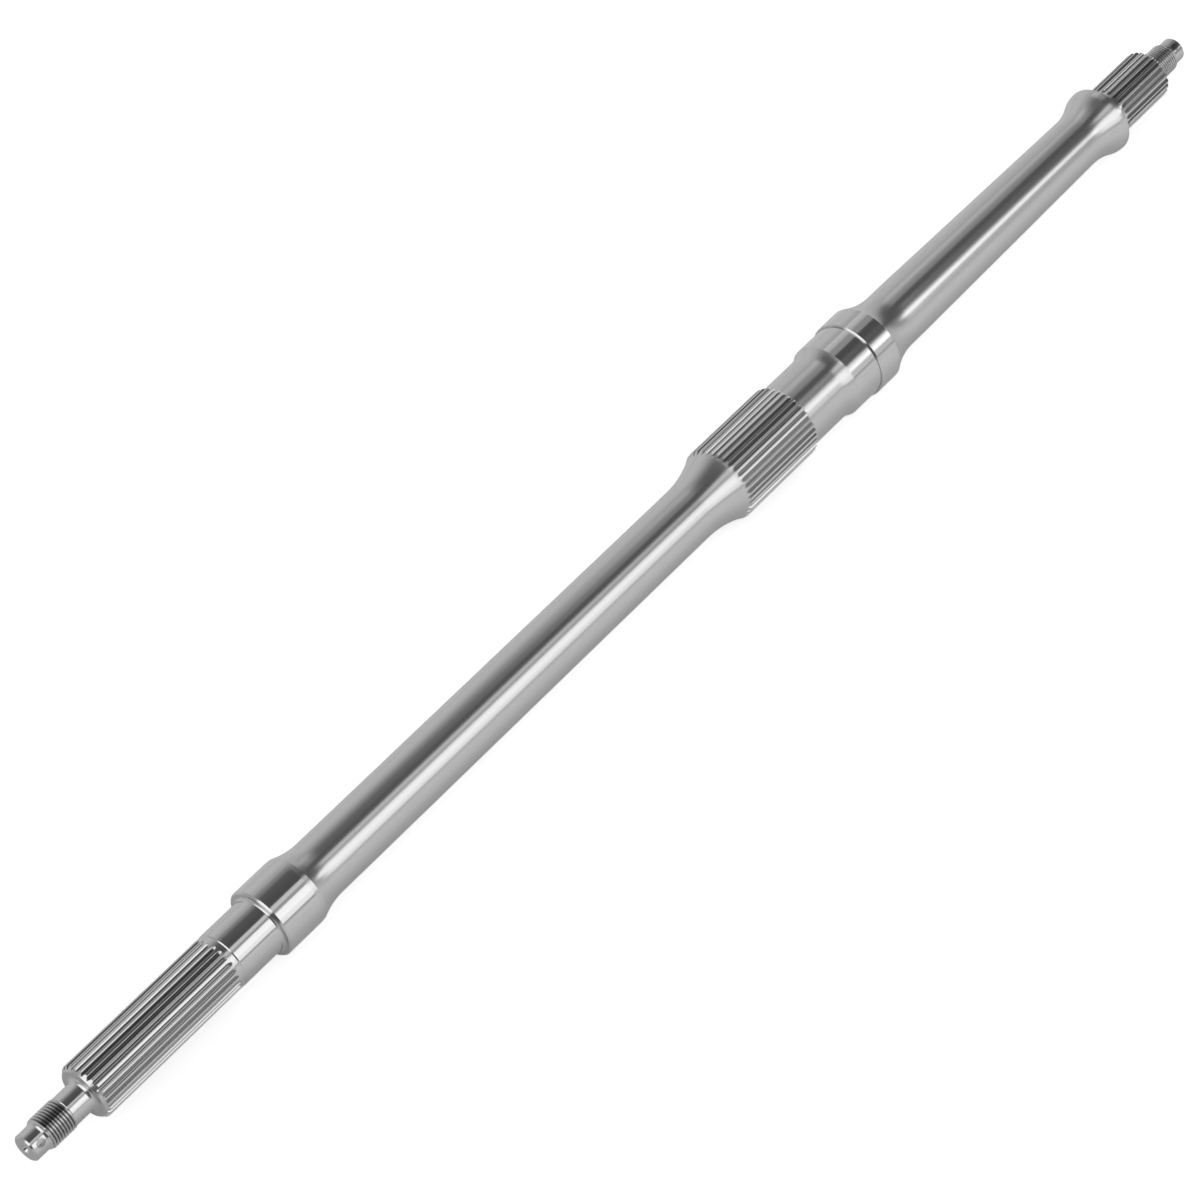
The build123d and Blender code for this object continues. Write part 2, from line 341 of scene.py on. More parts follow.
floor_mesh = bpy.data.meshes.new("floor")
middle_x = (cad_low.x + cad_high.x) / 2
corners = [
    (middle_x + sx * FLOOR_REACH, sy * FLOOR_REACH, cad_low.z)
    for sx, sy in ((-1, -1), (1, -1), (1, 1), (-1, 1))
]
floor_mesh.from_pydata(corners, [], [(0, 1, 2, 3)])
floor_mesh.materials.append(floor_material())
floor = bpy.data.objects.new("floor", floor_mesh)
bpy.context.scene.collection.objects.link(floor)
print("floor at z", round(cad_low.z / MM, 2), "mm")

# %% [markdown]
# ## Stations along the shaft
#
# A turned part is described by stations: places along the axis and the radius
# there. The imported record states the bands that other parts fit, so those
# stations are read from it. The shapes between the bands, which nothing fits,
# have sizes of their own here.

# %% Bands from the record
mounts = {mount["name"]: mount for mount in frame["record"]["mounts"]}


def band(name):
    """First station, last station and radius of a mount, in millimetres."""
    middle = mounts[name]["pos_m"][0] / MM
    half = mounts[name]["dims"]["length_mm"] / 2
    return middle - half, middle + half, mounts[name]["dims"]["r_mm"]


SEAT_FILLET = 1.5
SEAT_CHAMFER = 0.7
LEAD_CHAMFER = 1.9           # long bevel where a thread starts
LEAD_OUT = 0.6               # short bevel where it ends at its neck
GROOVE_W = 1.0
GROOVE_DEPTH = 0.3

journal_0, journal_1, journal_r = band("seal_journal")
thread_a0, thread_a1, thread_r = band("long_end_thread")
thread_c0, thread_c1, _ = band("short_end_thread")
x_face_a, x_gap_a, end_tip = band("long_spline")
x_spline_b, x_relief, mid_tip = band("middle_spline")
x_gap_c, x_shoulder_c, _ = band("short_spline")
x_inner, x_land, inner_r = band("inner_bearing_seat")
land_0, land_1, land_r = band("seal_land")
seat_r = band("bearing_seat")[2]
x_end_a, x_end_c = cad_low.x / MM, cad_high.x / MM
x_face_c = mounts["bell_face"]["pos_m"][0] / MM

x_seat_0 = journal_1 + SEAT_FILLET
x_seat_1 = -x_seat_0                       # the origin is in the seat's middle
x_journal = journal_0 - 0.2
x_nose_a = thread_a0 - LEAD_CHAMFER
x_thread_a = thread_a1 + LEAD_OUT
x_thread_c = thread_c0 - LEAD_OUT
x_nose_c = thread_c1 + LEAD_CHAMFER
x_sweep_3 = land_1 + 0.8
print("ends", round(x_end_a, 2), round(x_end_c, 2), "bell face", round(x_face_c, 2))

# %% [markdown]
# ### Radii and sweeps between the bands
#
# Each plain length is some amount below the band beside it, and each sweep is
# an arc that leaves it tangent. Points could be placed by eye, but an arc with
# a radius is what a lathe's form tool or its program would cut.

# %% Radii and sweeps between the bands
NOSE_DROP = 1.3              # below the thread's crest
NECK_DROP = 0.5
BAR_1_DROP = 3.1             # below the bearing seat
RELIEF_DROP = 2.0            # below the inner seat
BAR_2_DROP = 5.25            # below the seal land
BAR_2_TAPER = 1.65           # what the second bar loses over its length
RIM_RISE = 4.5               # the bell's rim above the thin end of that bar

nose_r = thread_r - NOSE_DROP
neck_r = thread_r - NECK_DROP
bar_1_r = seat_r - BAR_1_DROP
relief_r = inner_r - RELIEF_DROP
bar_2_r = land_r - BAR_2_DROP
bar_2_thin = bar_2_r - BAR_2_TAPER
rim_r = bar_2_thin + RIM_RISE
DEPTH = 1.15                 # depth of a tooth gap
end_root = end_tip - DEPTH
mid_root = mid_tip - DEPTH
brink = mid_root - 0.02      # where the sweep meets the middle spline's bevel

SWEEP_1_R = 38.0             # bearing seat to first bar
SWEEP_2_R = 60.0             # first bar to middle spline
SWEEP_3_R = 43.0             # seal land to second bar
RELIEF_SWEEP_R = 15.0        # plain land up to the inner seat
BELL_HOLLOW_R = 40.0
BELL_ROUND_R = 14.0
RIM_LEN = 0.9
BAR_2_PLAIN = 11.6           # plain length of the second bar before its taper
FACE_CHAMFER = 1.7
FACE_BEVEL_LEN = FACE_CHAMFER + 0.2
MID_BEVEL = 1.9              # axial length of the middle spline's bevel per mm of rise
EDGE = 0.6
NECK_FILLET = 2.5
NOSE_CHAMFER = 0.75


def run(radius, rise):
    """Axial length of an arc that leaves a plain bar tangent and climbs."""
    return math.sqrt(2 * radius * rise - rise * rise)


bell_lean = math.acos(1 - (rim_r - bar_2_thin) / (BELL_HOLLOW_R + BELL_ROUND_R))
x_rim = x_face_c - RIM_LEN
x_turn = x_rim - BELL_ROUND_R * math.sin(bell_lean)
x_bell = x_turn - BELL_HOLLOW_R * math.sin(bell_lean)
shoulder_1 = seat_r - 0.2
shoulder_3 = land_r - 0.4
x_sweep_1 = x_seat_1 + 2.6
x_bar_1 = x_sweep_1 + run(SWEEP_1_R, shoulder_1 - bar_1_r)
x_sweep_2 = x_spline_b - run(SWEEP_2_R, brink - bar_1_r)
x_rise = x_inner - run(RELIEF_SWEEP_R, inner_r - relief_r)
x_bar_2 = x_sweep_3 + run(SWEEP_3_R, shoulder_3 - bar_2_r)
x_taper = x_bar_2 + BAR_2_PLAIN
print("first bar", round(x_bar_1, 2), "to", round(x_sweep_2, 2), "mm")
print("bell from", round(x_bell, 2), "to", round(x_rim, 2), "mm")

# %% [markdown]
# ## The skin
#
# Everything on the shaft goes round one axis, so its whole surface is one
# sheet of rings, closed at a point in each centre hole. Plain lengths need
# fewer points round a ring than teeth or thread turns do. So the skin is made
# of blocks with their own count, and where two blocks meet, a zip of
# triangles joins a ring of one count to a ring of another. Modelling the
# pieces apart and letting them overlap would be simpler, but the mesh would
# no longer be one closed skin.

# %% Skin builder
class Skin:
    """Rings of points about X, joined in order into one closed surface."""

    def __init__(self):
        self.points, self.triangles = [], []
        self.count = 0
        self.last = None                   # index row and angles of the last ring

    def place(self, x, r, angle):
        """Adds points: (x, r cos angle, r sin angle). Returns their indices."""
        x, r, angle = np.broadcast_arrays(x, r, angle)
        spots = np.stack([x, r * np.cos(angle), r * np.sin(angle)], axis=-1)
        index = self.count + np.arange(x.size).reshape(x.shape)
        self.points.append(spots.reshape(-1, 3))
        self.count += x.size
        return index

    def faces(self, a, b, c):
        """Adds triangles from three index arrays and leaves out empty ones."""
        three = np.stack([a.ravel(), b.ravel(), c.ravel()], axis=1)
        whole = (three[:, 0] != three[:, 1]) & (three[:, 1] != three[:, 2])
        whole &= three[:, 2] != three[:, 0]
        self.triangles.append(three[whole])

    def quads(self, index, over):
        """Joins each row of indices to the next; over is the next column's."""
        a, b = index[:-1], over[:-1]
        c, d = over[1:], index[1:]
        spots = np.concatenate(self.points)
        first = np.linalg.norm(spots[a] - spots[c], axis=-1)
        second = np.linalg.norm(spots[b] - spots[d], axis=-1)
        long = first >= second             # the longer diagonal follows bevels
        self.faces(a, b, np.where(long, c, d))
        self.faces(np.where(long, a, b), c, d)

    def zip(self, low, low_angle, high, high_angle):
        """Joins two rings of any counts: each edge takes the nearest point
        that the other ring has already passed, going round by angle."""
        low_order = np.argsort(low_angle % math.tau)
        high_order = np.argsort(high_angle % math.tau)
        low, low_angle = low[low_order], (low_angle % math.tau)[low_order]
        high, high_angle = high[high_order], (high_angle % math.tau)[high_order]
        passed = np.searchsorted(high_angle, low_angle, "left") - 1
        self.faces(np.roll(low, 1), low, high[passed])
        passed = np.searchsorted(low_angle, high_angle, "right") - 1
        self.faces(low[passed], high, np.roll(high, 1))

    def add(self, x, r, angle):
        """A block of rings; x, r and angle broadcast to (rings, columns)."""
        index = self.place(x, r, angle)
        angle = np.broadcast_to(angle, index.shape)
        if self.last is not None:
            self.zip(*self.last, index[0], angle[0])
        self.quads(index, np.roll(index, -1, axis=1))
        self.last = (index[-1], angle[-1])

    def start(self, x, x_ring, r_ring, columns):
        """Closes the first ring with a point on the axis."""
        angle = ring_angles(columns)
        pole = self.place(np.array([x]), 0.0, 0.0)
        ring = self.place(x_ring, r_ring, angle)
        self.faces(np.full(columns, pole[0]), np.roll(ring, -1), ring)
        self.last = (ring, angle)

    def finish(self, x):
        """Closes the last ring with a point on the axis."""
        ring, _ = self.last
        pole = self.place(np.array([x]), 0.0, 0.0)
        self.faces(ring, np.roll(ring, -1), np.full(ring.size, pole[0]))


def ring_angles(columns):
    """Even angles round one turn."""
    return np.arange(columns) * math.tau / columns


skin = Skin()

# %% [markdown]
# ## Outlines of the plain lengths
#
# A plain length is an outline of (x, r) points turned round the axis. Straight
# runs and arcs are sampled by formula. On a long bar the rings crowd towards
# its ends, so the shading stays even along it and only bends near the sweep.

# %% Outline helpers
def straight(x_0, r_0, x_1, r_1, steps=1):
    """A straight run: share t = (1 - cos(pi k / steps)) / 2 of the way."""
    t = (1 - np.cos(np.linspace(0, math.pi, steps + 1))) / 2
    return np.column_stack([x_0 + (x_1 - x_0) * t, r_0 + (r_1 - r_0) * t])


def arc(x_centre, r_centre, radius, from_deg, to_deg, steps):
    """Points of a circle: x = xc + R cos a, r = rc + R sin a."""
    a = np.radians(np.linspace(from_deg, to_deg, steps + 1))
    return np.column_stack([x_centre + radius * np.cos(a), r_centre + radius * np.sin(a)])


def outline(*parts):
    """Parts end to end, without the points that repeat."""
    line = np.concatenate(parts)
    step = np.linalg.norm(np.diff(line, axis=0), axis=1)
    return line[np.concatenate([[True], step > 1e-6])]


def turned(line, columns):
    """Turns an outline round the axis and adds it to the skin."""
    skin.add(line[:, :1], line[:, 1:], ring_angles(columns))


COLUMNS = 192                # points round a plain band
END_COLUMNS = 96             # points round the nose and thread

# %% [markdown]
# ## The near nose
#
# The lathe holds the shaft by a 60 degree centre hole in each end, with a
# narrower pilot hole behind it. The nose outside it is plain and bevelled.

# %% Near nose and centre hole
CENTRE_R = 2.3
PILOT_R = 1.0
PILOT_LEN = 3.0
centre_len = (CENTRE_R - PILOT_R) / math.tan(math.radians(30))

x_pilot = x_end_a + centre_len + PILOT_LEN
skin.start(x_pilot + PILOT_R / 2, x_pilot, PILOT_R, END_COLUMNS)
turned(
    outline(
        straight(x_end_a + centre_len + 0.02, PILOT_R, x_end_a, CENTRE_R, 2)[:1],
        straight(x_end_a + centre_len, PILOT_R, x_end_a + 0.15, CENTRE_R - 0.09, 2),
        straight(x_end_a, CENTRE_R + 0.1, x_end_a, nose_r - NOSE_CHAMFER, 2),
        straight(x_end_a + NOSE_CHAMFER, nose_r, x_nose_a, nose_r, 6),
    ),
    END_COLUMNS,
)
print("near nose from", round(x_end_a, 2), "to", round(x_nose_a, 2), "mm")

# %% [markdown]
# ## The threads
#
# A thread is a groove that climbs round the bar: after one turn each row of
# points has moved on by one pitch. If the rings stayed square to the axis the
# crests would come out ragged, so each row runs round the thread's own helix
# instead, and past the last column it goes on as the row one pitch further.
# Rows that run out past either end close onto a plain ring there.

# %% Thread
PITCH = 1.5
FADE = 1.1                   # length over which the thread runs out into its neck
CREST = thread_r
ROOT = thread_r - 0.92       # 0.6134 of the pitch below the crest
# (share of the pitch, radius) of each row: crest edges, flanks, rounded root
THREAD_ROWS = np.array([
    (0.0625, CREST), (0.17, CREST - 0.28), (0.28, CREST - 0.565), (0.375, CREST - 0.81),
    (0.44, ROOT + 0.02), (0.56, ROOT + 0.02), (0.625, CREST - 0.81),
    (0.72, CREST - 0.565), (0.83, CREST - 0.28), (0.9375, CREST),
])


def thread(x_0, r_0, x_1, r_1, lead, lead_out):
    """A right-hand thread from a plain ring at x_0 to one at x_1.

    A row's point at angle a lies at x = first + pitch (row + a / one turn), and
    its radius is the row's own, no higher than the lead-in cone at one end,
    and it fades into the neck at the other. lead and lead_out are functions
    of x that give the cone's radius and the share of thread that is left.
    """
    angle = ring_angles(END_COLUMNS)
    rows = len(THREAD_ROWS)
    turns = int((x_1 - x_0) / PITCH) + 4
    share = (np.arange(turns)[:, None] + THREAD_ROWS[:, 0]).ravel()
    radius = np.tile(THREAD_ROWS[:, 1], turns)
    x = x_0 + PITCH * (share[:, None] - 2 + angle / math.tau)
    r = np.minimum(neck_r + (radius[:, None] - neck_r) * lead_out(x), lead(x))
    first = skin.place(x_0, r_0, angle)
    last = skin.place(x_1, r_1, angle)
    skin.zip(*skin.last, first, angle)
    own = skin.place(x, r, angle)
    near = PITCH / 60
    index = np.where(x < x_0 + near, first, np.where(x > x_1 - near, last, own))
    after = np.concatenate([index[rows:, :1], np.full((rows, 1), last[0])])
    over = np.concatenate([index[:, 1:], after], axis=1)
    skin.quads(index, over)
    skin.last = (last, angle)


def ease(t):
    """3 t^2 - 2 t^3, held at 0 and 1 outside."""
    t = np.clip(t, 0, 1)
    return t * t * (3 - 2 * t)


cone = (thread_r - nose_r) / LEAD_CHAMFER
thread(
    x_nose_a + 0.05, nose_r, x_thread_a, neck_r,
    lambda x: nose_r + (x - x_nose_a) * cone,
    lambda x: ease((x_thread_a - x) / FADE),
)
print("near thread", round((x_thread_a - x_nose_a) / PITCH, 1), "pitches long")

# %% [markdown]
# ## The near neck and face
#
# Behind the thread a plain neck lets the threading tool run out. It climbs to
# the face of the spline through a fillet, because a sharp corner there would
# start a crack. The ring on the face is where the point count changes.

# %% Near neck and face of the long spline
face_in = 11.0               # radius on the face where the point count changes
bevel_foot = end_tip - FACE_CHAMFER
turned(
    outline(
        straight(x_thread_a + 0.3, neck_r, x_face_a - NECK_FILLET, neck_r, 4),
        arc(x_face_a - NECK_FILLET, neck_r + NECK_FILLET, NECK_FILLET, -90, 0, 10),
        straight(x_face_a, neck_r + NECK_FILLET, x_face_a, face_in),
    ),
    END_COLUMNS,
)
print("neck radius", neck_r, "mm, fillet", NECK_FILLET, "mm")

# %% [markdown]
# ## The splines
#
# Each tooth gap is cut to an involute, the curve that a taut string's end
# draws as it unwinds from a circle. With numpy the whole section comes from
# one formula for the half-angle of a gap at each radius. One pitch is sixteen
# columns, from one gap's middle to the next: floor, rounded foot, flank,
# broken tip edge and tip. The teeth could be cut by booleans as in the solid,
# but a grid gives clean long quads that take a highlight well.
#
# Where a gap is blind, the round cutter lifts out of the steel along an arc,
# so the same section rises and narrows until it meets the tips.

# %% Tooth section
MODULE = 1.0
TEETH_END = 26
TEETH_MID = 38
FLANK_ANGLE = math.radians(30)
TOOTH_AT_PITCH = 2.09 * MODULE
RUNOUT_R = 3.6               # radius on which the cutter lifts out
LEVELS = np.array([0, 0, 0.03, 0.12, 0.4, 0.7, 0.9, 1, 1])   # floor 0, tip 1
blind_run = run(RUNOUT_R, DEPTH)


def involute(angle):
    """inv(a) = tan(a) - a."""
    return np.tan(angle) - angle


def half_gap(radius, teeth):
    """Half the angle of a gap at a radius: half a pitch, less half a tooth at
    the pitch circle, plus what the involute has opened since that circle."""
    pitch_r = MODULE * teeth / 2
    base_r = pitch_r * math.cos(FLANK_ANGLE)
    at_pitch = math.pi / teeth - TOOTH_AT_PITCH / (2 * pitch_r)
    return at_pitch - involute(FLANK_ANGLE) + involute(np.arccos(base_r / radius))


def spline(teeth, tip, phase_deg, x, lift, cap):
    """Rows of a spline. x, lift and cap have one value for each row.

    lift raises the gap floor, and the section keeps its shape above it: at
    radius r the gap is as wide as the full gap is at r - lift. cap is the
    radius of the bevel cone, above which nothing stands.
    """
    root = tip - DEPTH
    lift, cap, x = (np.asarray(v, float)[:, None] for v in (lift, cap, x))
    floor_r = root + lift
    r = floor_r + LEVELS * (tip - floor_r)
    angle = half_gap(r - lift, teeth)
    angle[:, 0] = 0
    angle[:, 1] = 0.55 * angle[:, 3]
    angle[:, 2] = 0.88 * angle[:, 3]
    angle[:, 7] += 0.003
    angle[:, 8] = math.pi / teeth
    angle[:, 1:8] += np.arange(7) * 0.0003       # keeps closing gaps open by a hair
    r = np.minimum(r, cap)
    pitch = math.tau / teeth
    r = np.concatenate([r, r[:, 7:0:-1]], axis=1)
    angle = np.concatenate([angle, pitch - angle[:, 7:0:-1]], axis=1)
    places = math.radians(phase_deg) + pitch * np.arange(teeth)
    angle = (places[:, None] + angle[:, None, :]).reshape(len(x), -1)
    skin.add(x, np.tile(r, teeth), angle)


def levels_between(root, low, high):
    """Radii of the section's columns between two cap radii, with both ends."""
    own = root + np.unique(LEVELS) * DEPTH
    return np.concatenate([[low], own[(own > low + 1e-3) & (own < high - 1e-3)], [high]])


def lifting(steps):
    """(distance, lift) of the cutter's arc: lift = R - sqrt(R^2 - s^2)."""
    s = np.linspace(0, blind_run, steps + 1)
    return s, RUNOUT_R - np.sqrt(RUNOUT_R ** 2 - s ** 2)


# %% [markdown]
# ### Long spline
#
# The near face has a big bevel that starts below the gap floors, so the teeth
# rise out of a cone. Its gaps are blind at the far end.

# %% Long spline
GAP_TURN = 117.9             # degrees about X of one gap's middle, on every spline

caps = levels_between(end_root, bevel_foot, end_tip)
bevel_x = x_face_a + (caps - bevel_foot) * FACE_BEVEL_LEN / FACE_CHAMFER
body_x = straight(bevel_x[-1], 0, x_gap_a, 0, 6)[1:, 0]
out_s, out_lift = lifting(9)
rows_x = np.concatenate([bevel_x, body_x, x_gap_a + out_s[1:]])
rows_lift = np.concatenate([0 * bevel_x, 0 * body_x, out_lift[1:]])
rows_cap = np.concatenate([caps, end_tip + 0 * body_x, end_tip + 0 * out_s[1:]])
spline(TEETH_END, end_tip, GAP_TURN, rows_x, rows_lift, rows_cap)
print("long spline:", TEETH_END, "teeth,", len(rows_x), "rings")

# %% [markdown]
# ### Journal, bearing seat and first bar
#
# The journal and seat are ground after turning. A bevel leads the bearing on,
# a fillet carries the load out of the seat, and a long sweep falls to the bar.
# All of it is one outline, so each stretch ends exactly where the next starts.

# %% Journal, bearing seat and first bar
x_groove = x_journal - GROOVE_W
turned(
    outline(
        straight(x_gap_a + blind_run + 0.6, end_tip, x_groove, end_tip, 2),
        straight(x_groove + 0.2, end_tip - GROOVE_DEPTH,
                 x_journal - GROOVE_DEPTH, end_tip - GROOVE_DEPTH),
        straight(x_journal + 0.2, journal_r, journal_1, journal_r, 5),
        arc(journal_1, journal_r + SEAT_FILLET, SEAT_FILLET, -90, 0, 9),
        straight(x_seat_0, journal_r + SEAT_FILLET, x_seat_0, seat_r - SEAT_CHAMFER),
        straight(x_seat_0 + SEAT_CHAMFER, seat_r, x_seat_1, seat_r, 5),
        straight(x_seat_1, seat_r, x_sweep_1, shoulder_1, 2),
        arc(x_bar_1, bar_1_r + SWEEP_1_R, SWEEP_1_R,
            -90 - math.degrees(math.acos(1 - (shoulder_1 - bar_1_r) / SWEEP_1_R)), -90, 12),
        straight(x_bar_1, bar_1_r, x_sweep_2, bar_1_r, 12),
        arc(x_sweep_2, bar_1_r + SWEEP_2_R, SWEEP_2_R, -90,
            -90 + math.degrees(math.acos(1 - (brink - bar_1_r) / SWEEP_2_R)), 14)[:-1],
    ),
    COLUMNS,
)
print("first bar radius", bar_1_r, "mm")

# %% [markdown]
# ### Middle spline
#
# The sweep from the first bar climbs to just below the gap floors, so these
# gaps are open at both ends. The far edge is broken by a small bevel.

# %% Middle spline
caps = levels_between(mid_root, brink, mid_tip)
bevel_x = x_spline_b + (caps - brink) * MID_BEVEL
body_x = straight(bevel_x[-1], 0, x_relief - EDGE, 0, 6)[1:, 0]
edge_caps = levels_between(mid_root, mid_tip - EDGE, mid_tip)[::-1][1:]
edge_x = x_relief - (edge_caps - (mid_tip - EDGE))
foot_r = (mid_root + relief_r) / 2
rows_x = np.concatenate([bevel_x, body_x, edge_x, [x_relief]])
rows_cap = np.concatenate([caps, mid_tip + 0 * body_x, edge_caps, [foot_r]])
spline(TEETH_MID, mid_tip, GAP_TURN, rows_x, 0 * rows_x, rows_cap)
print("middle spline:", TEETH_MID, "teeth,", len(rows_x), "rings")

# %% [markdown]
# ### Inner seat, seal land, second bar and bell
#
# The inner bearing stops against the square step to the seal land. The second
# bar tapers a little and ends in a bell: a hollow arc that turns into a round
# one where both lean alike. One outline again keeps the two arcs tangent.

# %% Inner seat, seal land, second bar and bell
bell_deg = math.degrees(bell_lean)
turned(
    outline(
        straight(x_relief, relief_r, x_rise, relief_r, 6),
        arc(x_rise, relief_r + RELIEF_SWEEP_R, RELIEF_SWEEP_R, -90,
            -90 + math.degrees(math.acos(1 - (inner_r - relief_r) / RELIEF_SWEEP_R)), 8),
        straight(x_inner, inner_r, x_land, inner_r, 5),
        straight(x_land, land_r - 0.5, land_0, land_r),
        straight(land_0, land_r, land_1, land_r, 5),
        straight(land_1, land_r, x_sweep_3, shoulder_3, 1),
        arc(x_bar_2, bar_2_r + SWEEP_3_R, SWEEP_3_R,
            -90 - math.degrees(math.acos(1 - (shoulder_3 - bar_2_r) / SWEEP_3_R)), -90, 13),
        straight(x_bar_2, bar_2_r, x_taper, bar_2_r, 3),
        straight(x_taper, bar_2_r, x_bell, bar_2_thin, 10),
        arc(x_bell, bar_2_thin + BELL_HOLLOW_R, BELL_HOLLOW_R, -90, -90 + bell_deg, 12),
        arc(x_rim, rim_r - BELL_ROUND_R, BELL_ROUND_R, 90 + bell_deg, 90, 10),
        straight(x_rim, rim_r, x_face_c - 0.5, rim_r),
        straight(x_face_c, rim_r - 0.5, x_face_c, end_tip + 1.0, 2),
        arc(x_face_c + 1.0, end_tip + 1.0, 1.0, 180, 270, 7),
        straight(x_face_c + 1.0, end_tip, x_gap_c - blind_run - 0.6, end_tip, 2),
    ),
    COLUMNS,
)
print("bell rim radius", round(rim_r, 2), "mm, lean", round(bell_deg, 1), "degrees")

# %% [markdown]
# ### Short spline
#
# The same section as the long spline, blind at the bell and open at the nose.

# %% Short spline
body_x = straight(x_gap_c, 0, x_shoulder_c - EDGE, 0, 5)[1:, 0]
edge_caps = levels_between(end_root, end_tip - EDGE, end_tip)[::-1][1:]
edge_x = x_shoulder_c - (edge_caps - (end_tip - EDGE))
rows_x = np.concatenate([x_gap_c - out_s[::-1], body_x, edge_x, [x_shoulder_c]])
rows_lift = np.concatenate([out_lift[::-1], 0 * body_x, 0 * edge_x, [0]])
rows_cap = np.concatenate([end_tip + 0 * out_s, end_tip + 0 * body_x, edge_caps, [11.9]])
spline(TEETH_END, end_tip, GAP_TURN, rows_x, rows_lift, rows_cap)
print("short spline:", TEETH_END, "teeth,", len(rows_x), "rings")

# %% [markdown]
# ### Far neck, thread and nose
#
# The far end repeats the near one the other way round, with a square shoulder
# in place of the fillet. Its last ring closes on a point in the centre hole.

# %% Far neck, thread and nose
turned(
    outline(
        straight(x_shoulder_c, face_in, x_shoulder_c, neck_r, 2),
        straight(x_shoulder_c, neck_r, x_thread_c - 0.3, neck_r, 2),
    ),
    END_COLUMNS,
)
thread(
    x_thread_c, neck_r, x_nose_c - 0.05, nose_r,
    lambda x: nose_r + (x_nose_c - x) * cone,
    lambda x: ease((x - x_thread_c) / FADE),
)
turned(
    outline(
        straight(x_nose_c, nose_r, x_end_c - NOSE_CHAMFER, nose_r, 6),
        straight(x_end_c, nose_r - NOSE_CHAMFER, x_end_c, CENTRE_R + 0.1, 2),
        straight(x_end_c - 0.15, CENTRE_R - 0.09, x_end_c - centre_len, PILOT_R, 2),
        straight(x_end_c - centre_len - 0.02, PILOT_R,
                 x_end_c - centre_len - PILOT_LEN, PILOT_R, 1),
    ),
    END_COLUMNS,
)
skin.finish(x_end_c - centre_len - PILOT_LEN - PILOT_R / 2)
print("far nose from", round(x_nose_c, 2), "to", round(x_end_c, 2), "mm")

# %% [markdown]
# ## From skin to mesh
#
# The blocks' points and triangles are put end to end, and points that no
# triangle uses, such as thread rows past the thread's ends, are left out.

# %% Skin to mesh
spots = np.concatenate(skin.points) * MM
triangles = np.concatenate(skin.triangles)
used = np.unique(triangles)
renumber = np.zeros(len(spots), int)
renumber[used] = np.arange(len(used))
shaft_mesh = bpy.data.meshes.new("splined_shaft_skin")
shaft_mesh.from_pydata(spots[used], [], renumber[triangles])
shaft_mesh.validate()
shaft = bpy.data.objects.new("shaft", shaft_mesh)
bpy.context.scene.collection.objects.link(shaft)
print("skin:", len(shaft_mesh.vertices), "points,", len(shaft_mesh.polygons), "triangles")

# %% [markdown]
# ## Split-pin holes
#
# A split pin through each nose stops the nut from backing off. The holes are
# drilled across a round surface, so their rims are saddle curves. Those could
# be worked out by hand, but a boolean with a small closed cutter finds them
# exactly, and it costs little on this mesh.
#
# Known fault: this cutter is inside out, because its three directions make a
# left-handed set. So the boolean leaves a doubled skin over each mouth, and the
# holes look closed. Changing the sign of `sideways` opens them.

# %% Split-pin holes
HOLES = ("long_end_split_pin_hole", "short_end_split_pin_hole")
CUTTER_REACH = 9.0           # half the cutter's length, past the nose's surface
MOUTH_AT = 6.6               # half the distance between the mouths
WALL_END = 6.4               # the straight wall ends this far from the axis
MOUTH_WIDER = 0.2            # how much the mouth is wider than the hole
REACH_WIDER = 1.4            # and the cutter's end, which stands in the open
CUTTER_COLUMNS = 48


def drill(name):
    """A closed cutter along a hole's axis, flared a little at both mouths."""
    hole = mounts[name]
    x = hole["pos_m"][0]
    _, cy, cz = hole["axis"]
    r = hole["dims"]["r_mm"]
    half = np.array([WALL_END, MOUTH_AT, CUTTER_REACH])
    flare = np.array([0.0, MOUTH_WIDER, REACH_WIDER])
    along = np.concatenate([-half[::-1], half])
    wide = r + np.concatenate([flare[::-1], flare])
    u, v = np.meshgrid(ring_angles(CUTTER_COLUMNS), np.arange(len(along)))
    a, w = along[v], wide[v]
    sideways = w * np.sin(u)
    points = np.stack([
        x / MM + w * np.cos(u), a * cy - sideways * cz, a * cz + sideways * cy], axis=-1)
    index = np.arange(points.size // 3).reshape(u.shape)
    over = np.roll(index, -1, axis=1)
    quads = np.stack([index[:-1], over[:-1], over[1:], index[1:]], axis=-1).reshape(-1, 4)
    mesh = bpy.data.meshes.new(name)
    faces = [*quads.tolist(), index[0, ::-1].tolist(), index[-1].tolist()]
    mesh.from_pydata(points.reshape(-1, 3) * MM, [], faces)
    return bpy.data.objects.new(name, mesh)


for name in HOLES:
    cutter = drill(name)
    bpy.context.scene.collection.objects.link(cutter)
    cut = shaft.modifiers.new(name, "BOOLEAN")
    cut.operation = "DIFFERENCE"
    cut.solver = "MANIFOLD"
    cut.object = cutter
    bpy.context.view_layer.update()
    solid = shaft.evaluated_get(bpy.context.evaluated_depsgraph_get())
    drilled = bpy.data.meshes.new_from_object(solid)
    shaft.modifiers.clear()
    old, shaft.data = shaft.data, drilled
    bpy.data.meshes.remove(old)
    bpy.data.objects.remove(cutter)
    print(name, "->", len(shaft.data.polygons), "faces")

SHARP = 14.0                 # degrees; edges that turn more than this stay crisp
shaft.data.shade_smooth()
shaft.data.set_sharp_from_angle(angle=math.radians(SHARP))

# %% [markdown]
# ## Steel
#
# The whole shaft is one bare steel. Only the tool marks differ: the bands are
# ground, the bars and sweeps are turned and polished along, the splines are
# cut by a hob and the threads are rolled. So one base takes a roughness, and
# each finish adds its own marks as fine bumps. A turned surface is smoother
# round the bar than along it, which stretches its highlights along the shaft;
# that is what the anisotropy says. Painted shade is added in two places: the
# walls of the small holes have a dark colour, and the bottoms of tooth gaps
# and thread turns go darker with their depth.

# %% Steel base
STEEL = (0.62, 0.62, 0.62, 1)


